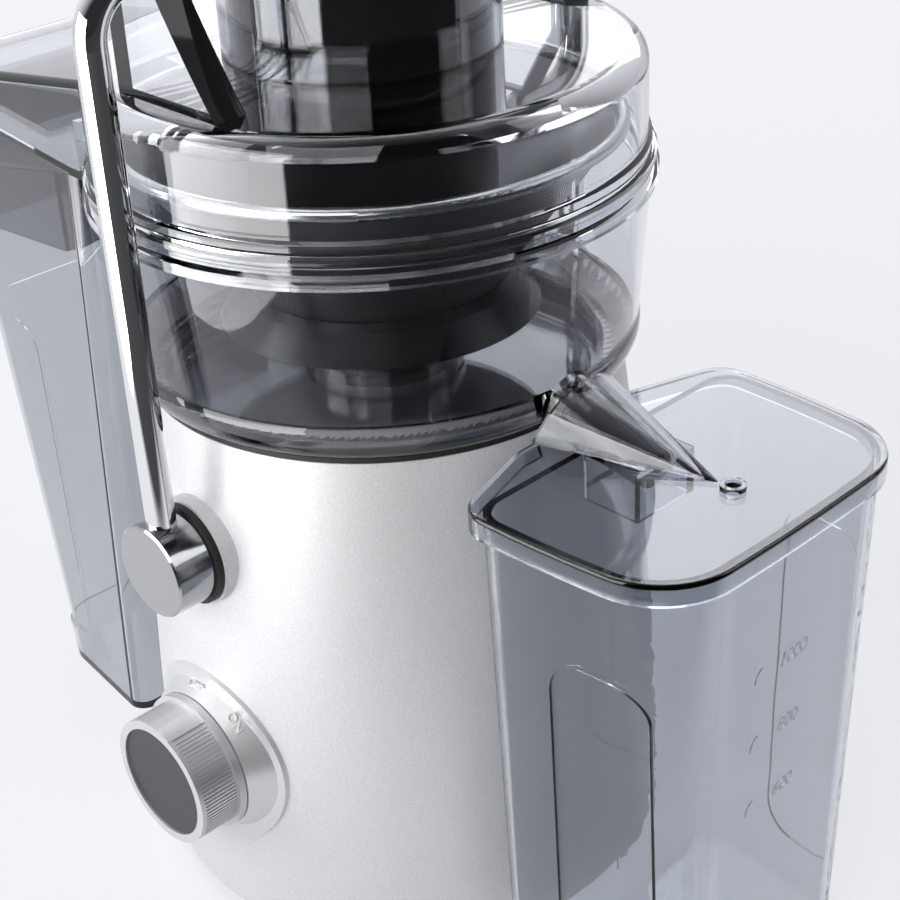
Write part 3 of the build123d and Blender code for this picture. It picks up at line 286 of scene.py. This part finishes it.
def etched_mesh(name, round_count, rows):
    """Steel sheet with rows of fine dark holes."""
    material, tree, shader = new_material(name, Metallic=1.0)
    hole = place_group(tree, mesh_holes, Round=round_count, Rows=rows)["Mask"]
    feed(tree, shader["Base Color"], tint(tree, hole, MESH_STEEL, MESH_HOLE))
    feed(tree, shader["Roughness"], spread(tree, hole, *MESH_ROUGH))
    bump(tree, shader, maths(tree, "SUBTRACT", 1.0, hole), MESH_DEPTH)
    return material


def smoked(name, colour):
    """Clear plastic with a light smoke tint, slightly uneven, and faint smears."""
    material, tree, shader = new_material(name, Transmission_Weight=1.0, IOR=PLASTIC_IOR)
    smears = place_group(tree, handling, Clean=PLASTIC_ROUGH[0], Smeared=PLASTIC_ROUGH[1])
    thin = tuple(min(1.0, THIN_TINT * part) for part in colour)
    thick = tuple(THICK_TINT * part for part in colour)
    feed(tree, shader["Base Color"], tint(tree, smears["Mask"], (*thin, 1), (*thick, 1)))
    feed(tree, shader["Roughness"], smears["Roughness"])
    return material


# Paint and moulded plastic
silver_paint = grained(
    "silver_paint", (0.58, 0.585, 0.595), (0.74, 0.745, 0.755),
    size=1.0, rough=(0.40, 0.48), depth=0.04 * MM, Metallic=0.32,
)
bezel_silver = grained(
    "bezel_silver", (0.60, 0.605, 0.615), (0.70, 0.705, 0.715),
    size=1.2, rough=(0.28, 0.34), depth=0.005 * MM, Metallic=0.7,
)
knob_silver = grained(
    "knob_silver", (0.56, 0.565, 0.575), (0.63, 0.635, 0.645),
    size=2.0, rough=(0.34, 0.42), depth=0.004 * MM, Metallic=0.75,
)
black_satin = grained(
    "black_satin", (0.004, 0.004, 0.0045), (0.007, 0.007, 0.0075),
    size=0.8, rough=(0.20, 0.30), depth=0.02 * MM, Specular_IOR_Level=0.3,
)
insert_grey = grained(
    "insert_grey", (0.014, 0.0145, 0.016), (0.028, 0.029, 0.031),
    size=0.7, rough=(0.42, 0.55), depth=0.05 * MM,
)
deck_grey = grained(
    "deck_grey", (0.18, 0.183, 0.19), (0.23, 0.233, 0.24),
    size=0.8, rough=(0.30, 0.40), depth=0.02 * MM,
)
black_rubber = grained(
    "black_rubber", (0.006, 0.006, 0.006), (0.012, 0.012, 0.012),
    size=0.5, rough=(0.55, 0.7), depth=0.08 * MM,
)
carbon_block = grained(
    "carbon_block", (0.020, 0.020, 0.020), (0.040, 0.040, 0.040),
    size=0.4, rough=(0.6, 0.8), depth=0.1 * MM,
)
black_gloss = polished("black_gloss", (0.003, 0.003, 0.0035), rough=(0.05, 0.14))

# Metal
cast_alloy = grained(
    "cast_alloy", (0.50, 0.51, 0.52), (0.62, 0.63, 0.64),
    size=0.3, rough=(0.4, 0.55), depth=0.1 * MM, Metallic=1.0,
)
core_sheet = turned("core_sheet", (0.24, 0.24, 0.26), pitch=900.0, rough=(0.35, 0.6))
bright_steel = turned("bright_steel", (0.56, 0.565, 0.57), pitch=1600.0, rough=(0.16, 0.30))
copper_wire = turned("copper_wire", (0.62, 0.28, 0.13), pitch=1100.0, rough=(0.25, 0.4))
chrome = polished("chrome", (0.80, 0.805, 0.81), rough=(0.02, 0.07), Metallic=1.0)
boss_chrome = polished("boss_chrome", (0.46, 0.465, 0.475), rough=(0.10, 0.16), Metallic=1.0)
basket_mesh = etched_mesh("basket_mesh", round_count=520.0, rows=9000.0)

# Clear plastic, and dark copies of it that paint shade on some faces of the lid and the bowl
smoked_bowl = smoked("smoked_bowl", (0.80, 0.815, 0.845))
smoked_jug = smoked("smoked_jug", (0.64, 0.66, 0.70))
smoked_bin = smoked("smoked_bin", (0.64, 0.655, 0.68))
# Painted shade: dark copies of the smoked plastic for the bowl's foot, the lid's skirt and the lid's
# lugs
foot_painted_shade = smoked("foot_painted_shade", (0.14, 0.145, 0.155))
skirt_painted_shade = smoked("skirt_painted_shade", (0.20, 0.215, 0.24))
lug_painted_shade = polished("lug_painted_shade", (0.010, 0.010, 0.011), rough=(0.02, 0.06))

finish_of_slot = {
    "silver_body": silver_paint,
    "silver_knob": knob_silver,
    "smoked_clear": smoked_bowl,
    "chrome": chrome,
    "steel": bright_steel,
    "core_steel": core_sheet,
    "copper": copper_wire,
    "cast_alloy": cast_alloy,
    "carbon": carbon_block,
    "black_plastic": black_satin,
    "dark_insert": insert_grey,
    "black_rubber": black_rubber,
}
finish_of_node = {
    "dial_bezel": bezel_silver,
    "pivot_boss_front": boss_chrome,
    "pivot_boss_rear": boss_chrome,
    "filter_basket": basket_mesh,
    "top_deck": deck_grey,
    "food_pusher": black_gloss,
    "juice_jug": smoked_jug,
    "jug_lid": smoked_jug,
    "pulp_container": smoked_bin,
}

# Smooth shading goes across edges that are flatter than this
SMOOTH_ANGLE = math.radians(35.0)


def dress(piece, finish):
    piece.data.materials.clear()
    piece.data.materials.append(finish)


def smooth(piece):
    bpy.ops.object.select_all(action="DESELECT")
    piece.select_set(True)
    bpy.context.view_layer.objects.active = piece
    bpy.ops.object.shade_smooth_by_angle(angle=SMOOTH_ANGLE)


for subpart in frame["record"]["subparts"]:
    name = subpart["node"]
    dress(nodes[name], finish_of_node.get(name, finish_of_slot[subpart["material_slot"]]))
    smooth(nodes[name])


# Painted shade: faces along the lid's lugs, in its skirt and at the bowl's foot get a dark copy of the
# clear plastic
LUG_X = (-0.0205, 0.0305)
LUG_Y = (0.064, 0.076)
LUG_BOTTOM_Z = 0.2805
LUG_SIDE_NORMAL = 0.3
SKIRT_START_X = -0.118
SKIRT_TOP_Z = 0.2345
FOOT_RADIUS = 0.074
FOOT_TOP_Z = 0.1965


def on_lug_ramp(face):
    centre = face.center
    along_lug = LUG_X[0] < centre.x < LUG_X[1]
    across_lug = LUG_Y[0] < abs(centre.y) < LUG_Y[1]
    on_ramp = centre.z > LUG_BOTTOM_Z and abs(face.normal.y) < LUG_SIDE_NORMAL
    return along_lug and across_lug and on_ramp


def on_skirt(face):
    return face.center.x < SKIRT_START_X and face.center.z < SKIRT_TOP_Z


def on_bowl_foot(face):
    from_axis = math.hypot(face.center.x, face.center.y)
    return from_axis > FOOT_RADIUS and face.center.z < FOOT_TOP_Z


def darken(piece, finish, takes_painted_shade):
    """Give the faces of a clear piece that take painted shade a dark finish of their own."""
    finishes = piece.data.materials
    finishes.append(finish)
    for face in piece.data.polygons:
        if takes_painted_shade(face):
            face.material_index = len(finishes) - 1


# Painted shade on the lid's lug ramps and skirt, and on the bowl's foot
darken(nodes["lid"], lug_painted_shade, on_lug_ramp)
darken(nodes["lid"], skirt_painted_shade, on_skirt)
darken(nodes["juice_bowl"], foot_painted_shade, on_bowl_foot)

# Marks: words on the bezel, plain numbers and ticks on the jug
SIZE_OF_LETTER = 1.4
WORD_DEPTH = 0.18 * MM
WORD_BEVEL = 0.05 * MM
TICK_THICKNESS = 0.28 * MM
# The jug's end wall leans out, and each number has its height on it
JUG_LEAN = 5.0 / 184.0
JUG_NUMBERS = (("1000", 0.138), ("800", 0.1135), ("600", 0.089))
NUMBER_HEIGHT, NUMBER_LEAN = 4.6 * MM, 0.25
NUMBER_Y, NUMBER_SINK = 1.2 * MM, 0.3 * MM
TICK_Y, TICK_RISE, TICK_SINK = -12.5 * MM, 1.0 * MM, 0.4 * MM
TICK_RADIUS, TICK_START, TICK_END = 3.4 * MM, 95.0, 200.0
# The bezel is a cone round the dial, and each word has its turn on it
DIAL_CENTRE = Vector((0, -0.0905, 0.0656))
DIAL_WORDS = (("OFF", -6.0), ("ON", 38.0))
DIAL_WORD_HEIGHT, DIAL_WORD_RADIUS = 3.2 * MM, 26.6 * MM
BEZEL_SLOPE = Vector((0, 1.6, 0))


def face_place(centre, across, upward):
    """Matrix that lays a flat piece at centre, with its X across and its Y upward."""
    across = Vector(across).normalized()
    outward = across.cross(Vector(upward)).normalized()
    upward = outward.cross(across)
    turn = Matrix((across, upward, outward)).transposed().to_4x4()
    return Matrix.Translation(centre) @ turn


def raised_word(name, text, letter_height, lean, placing, finish, body):
    bpy.ops.object.select_all(action="DESELECT")
    bpy.ops.object.text_add()
    word = bpy.context.object
    word.name = name
    word.data.body = text
    word.data.size = letter_height * SIZE_OF_LETTER
    word.data.shear = lean
    word.data.align_x = "CENTER"
    word.data.extrude = WORD_DEPTH
    word.data.bevel_depth = WORD_BEVEL
    word.data.resolution_u = 4
    bpy.ops.object.convert(target="MESH")
    word.data.transform(placing)
    dress(word, finish)
    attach(word, body)


def tick_arc(name, placing, finish):
    """Thin raised arc beside a number."""
    bpy.ops.object.select_all(action="DESELECT")
    bpy.ops.curve.primitive_nurbs_path_add()
    arc = bpy.context.object
    arc.name = name
    points = arc.data.splines[0].points
    for place, point in enumerate(points):
        angle = math.radians(TICK_START + (TICK_END - TICK_START) * place / (len(points) - 1))
        point.co = (TICK_RADIUS * math.cos(angle), TICK_RADIUS * math.sin(angle), 0, 1)
    arc.data.bevel_depth = TICK_THICKNESS
    arc.data.bevel_resolution = 2
    arc.data.use_fill_caps = True
    bpy.ops.object.convert(target="MESH")
    arc.data.transform(placing)
    dress(arc, finish)
    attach(arc, "jug")


def jug_marks():
    jug_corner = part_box("juice_jug")[1]
    across, upward = (0, 1, 0), (JUG_LEAN, 0, 1)
    for text, mark_z in JUG_NUMBERS:
        wall_x = jug_corner.x - (jug_corner.z - mark_z) * JUG_LEAN
        number_place = face_place((wall_x - NUMBER_SINK, NUMBER_Y, mark_z), across, upward)
        raised_word(
            "mark_" + text, text, NUMBER_HEIGHT, NUMBER_LEAN, number_place,
            smoked_jug, "jug",
        )
        tick_centre = (wall_x - TICK_SINK, TICK_Y, mark_z + TICK_RISE)
        tick_arc("tick_" + text, face_place(tick_centre, across, upward), smoked_jug)


def dial_words():
    for text, turn in DIAL_WORDS:
        angle = math.radians(turn)
        outward = Vector((math.sin(angle), 0, math.cos(angle)))
        across = Vector((math.cos(angle), 0, -math.sin(angle)))
        centre = DIAL_CENTRE + outward * DIAL_WORD_RADIUS
        word_place = face_place(centre, across, outward + BEZEL_SLOPE)
        raised_word(
            "word_" + text.lower(), text, DIAL_WORD_HEIGHT, 0.0, word_place,
            bezel_silver, "base",
        )


jug_marks()
dial_words()

# Floor, backdrop light and lamps
PALE = (0.947, 0.957, 1.0, 1)
FLOOR_SIZE, FLOOR_DROP = 12.0, 0.2 * MM
FLOOR_LIT = (0.26, 0.263, 0.267, 1)
FLOOR_UNLIT = (0.02, 0.02, 0.02, 1)
# Painted reflection: mirrored in the pieces, the floor is painted dark along this way, from the first
# distance to the second
UNLIT_WAY, UNLIT_SHARE, UNLIT_FROM = (0.866, -0.5, 0), (0.0, 0.95), (0.26, 0.34)
# Painted reflection: the glow of the floor where it is mirrored in the pieces and not painted dark
MIRRORED_FLOOR_GLOW = 0.5
PLAIN_FLOOR_GLOW = 0.12
SEEN_FLOOR_GLOW, SEEN_FLOOR_DISTANCE = (0.55, 0.77), (0.25, 1.8)
# Mirrored in the pieces, the backdrop is bright along this way
BRIGHT_WAY, BRIGHT_SHARE, BRIGHT_FROM = (-0.80, 0.35, 0.48), (0.03, 0.95), (-0.2, 0.8)
SEEN_BACKDROP = 0.93
PLAIN_BACKDROP = 0.22


def background_rays(tree):
    """1 for rays that see the background straight or through clear pieces, and 1 for mirrored rays."""
    path = add_node(tree, "ShaderNodeLightPath").outputs
    straight = maths(tree, "MAXIMUM", path["Is Camera Ray"], path["Is Transmission Ray"])
    mirrored = maths(tree, "GREATER_THAN", path["Glossy Depth"], 0.5)
    seen = maths(tree, "MULTIPLY", straight, maths(tree, "SUBTRACT", 1.0, mirrored))
    return seen, mirrored


def along(tree, vector, way):
    """How far a vector reaches along a way."""
    node = add_node(tree, "ShaderNodeVectorMath", operation="DOT_PRODUCT")
    feed(tree, node.inputs[0], vector)
    feed(tree, node.inputs[1], way)
    return node.outputs["Value"]


def pale_floor():
    bpy.ops.object.select_all(action="DESELECT")
    bpy.ops.mesh.primitive_plane_add(size=FLOOR_SIZE, location=(0, 0, -FLOOR_DROP))
    floor = bpy.context.object
    floor.name = "floor"
    material, tree, shader = new_material(
        "pale_floor", Roughness=0.6, Specular_IOR_Level=0.0, Emission_Color=PALE,
    )
    seen, mirrored = background_rays(tree)
    coords = piece_coords(tree)
    # Painted reflection: in mirrored rays the floor is painted dark along one way and glows elsewhere
    unlit = spread(tree, along(tree, coords, UNLIT_WAY), *UNLIT_SHARE, *UNLIT_FROM)
    away = maths(tree, "MULTIPLY", mirrored, unlit)
    feed(tree, shader["Base Color"], tint(tree, away, FLOOR_LIT, FLOOR_UNLIT))
    lit = maths(tree, "MULTIPLY", maths(tree, "SUBTRACT", mirrored, away), MIRRORED_FLOOR_GLOW)
    distance = add_node(tree, "ShaderNodeVectorMath", operation="LENGTH")
    feed(tree, distance.inputs[0], coords)
    far = spread(tree, distance.outputs["Value"], *SEEN_FLOOR_GLOW, *SEEN_FLOOR_DISTANCE)
    shown = maths(tree, "MULTIPLY", seen, far)
    glow = maths(tree, "ADD", maths(tree, "ADD", shown, lit), PLAIN_FLOOR_GLOW)
    held_back = maths(tree, "MULTIPLY", away, PLAIN_FLOOR_GLOW)
    feed(tree, shader["Emission Strength"], maths(tree, "SUBTRACT", glow, held_back))
    dress(floor, material)


def studio_world():
    world = bpy.data.worlds.new("studio_world")
    world.use_nodes = True
    scene.world = world
    tree = world.node_tree
    backdrop = tree.nodes["Background"].inputs
    feed(tree, backdrop["Color"], PALE)
    seen, mirrored = background_rays(tree)
    looking = add_node(tree, "ShaderNodeTexCoord").outputs["Generated"]
    bright = spread(tree, along(tree, looking, BRIGHT_WAY), *BRIGHT_SHARE, *BRIGHT_FROM)
    shown = maths(tree, "MULTIPLY", mirrored, bright)
    plain = maths(tree, "SUBTRACT", 1.0, maths(tree, "MAXIMUM", seen, mirrored))
    both = maths(tree, "ADD", shown, maths(tree, "MULTIPLY", seen, SEEN_BACKDROP))
    rest = maths(tree, "MULTIPLY", plain, PLAIN_BACKDROP)
    feed(tree, backdrop["Strength"], maths(tree, "ADD", both, rest))


def softbox(name, place, aim, size, watts, diffuse=True, glossy=True):
    """A rectangular lamp that the camera can't see: a fill isn't mirrored, a gleam is only mirrored."""
    light = bpy.data.lights.new(name, "AREA")
    light.shape = "RECTANGLE"
    light.size, light.size_y = size
    light.energy = watts
    lamp = bpy.data.objects.new(name, light)
    scene.collection.objects.link(lamp)
    lamp.location = place
    lamp.rotation_euler = (Vector(aim) - Vector(place)).to_track_quat("-Z", "Y").to_euler()
    lamp.visible_camera = False
    lamp.visible_diffuse = diffuse
    lamp.visible_glossy = glossy


pale_floor()
studio_world()
softbox("left_fill", (-0.40, -0.90, 0.60), (0, 0, 0.15), (0.7, 0.7), watts=5.0, glossy=False)
softbox("left_gleam", (-0.10, -0.46, 0.24), (0, 0, 0.18), (0.56, 0.49), watts=5.2, diffuse=False)
softbox("back_gleam", (-0.75, 0.80, 0.90), (0.1, 0, 0.2), (1.0, 0.8), watts=4.5, diffuse=False)
softbox("overhead_box", (-0.45, 0.25, 1.2), (-0.05, 0, 0.1), (1.0, 1.0), watts=6.5)
softbox("right_box", (0.9, 0.7, 0.7), (0, 0, 0.15), (0.6, 0.8), watts=2.5)
softbox("front_fill", (0.55, -0.95, 0.7), (0, 0, 0.15), (0.9, 0.9), watts=9.0, glossy=False)

# Camera at the photograph's viewing angle
CAMERA_PLACE = (0.406918, -0.349020, 0.449887)
CAMERA_RIGHT = Vector((0.69715, 0.71546, -0.04589))
CAMERA_UP = Vector((-0.32895, 0.37609, 0.86623))
CAMERA_AHEAD = Vector((-0.63701, 0.58880, -0.49753))
CAMERA_LENS, CAMERA_SENSOR = 71.947, 36.0


def matched_camera():
    camera_data = bpy.data.cameras.new("photo_camera")
    camera_data.sensor_width = CAMERA_SENSOR
    camera_data.lens = CAMERA_LENS
    camera_data.clip_start = 0.01
    camera = bpy.data.objects.new("photo_camera", camera_data)
    scene.collection.objects.link(camera)
    turn = Matrix((CAMERA_RIGHT, CAMERA_UP, -CAMERA_AHEAD)).transposed().to_4x4()
    camera.matrix_world = Matrix.Translation(CAMERA_PLACE) @ turn
    scene.camera = camera


matched_camera()
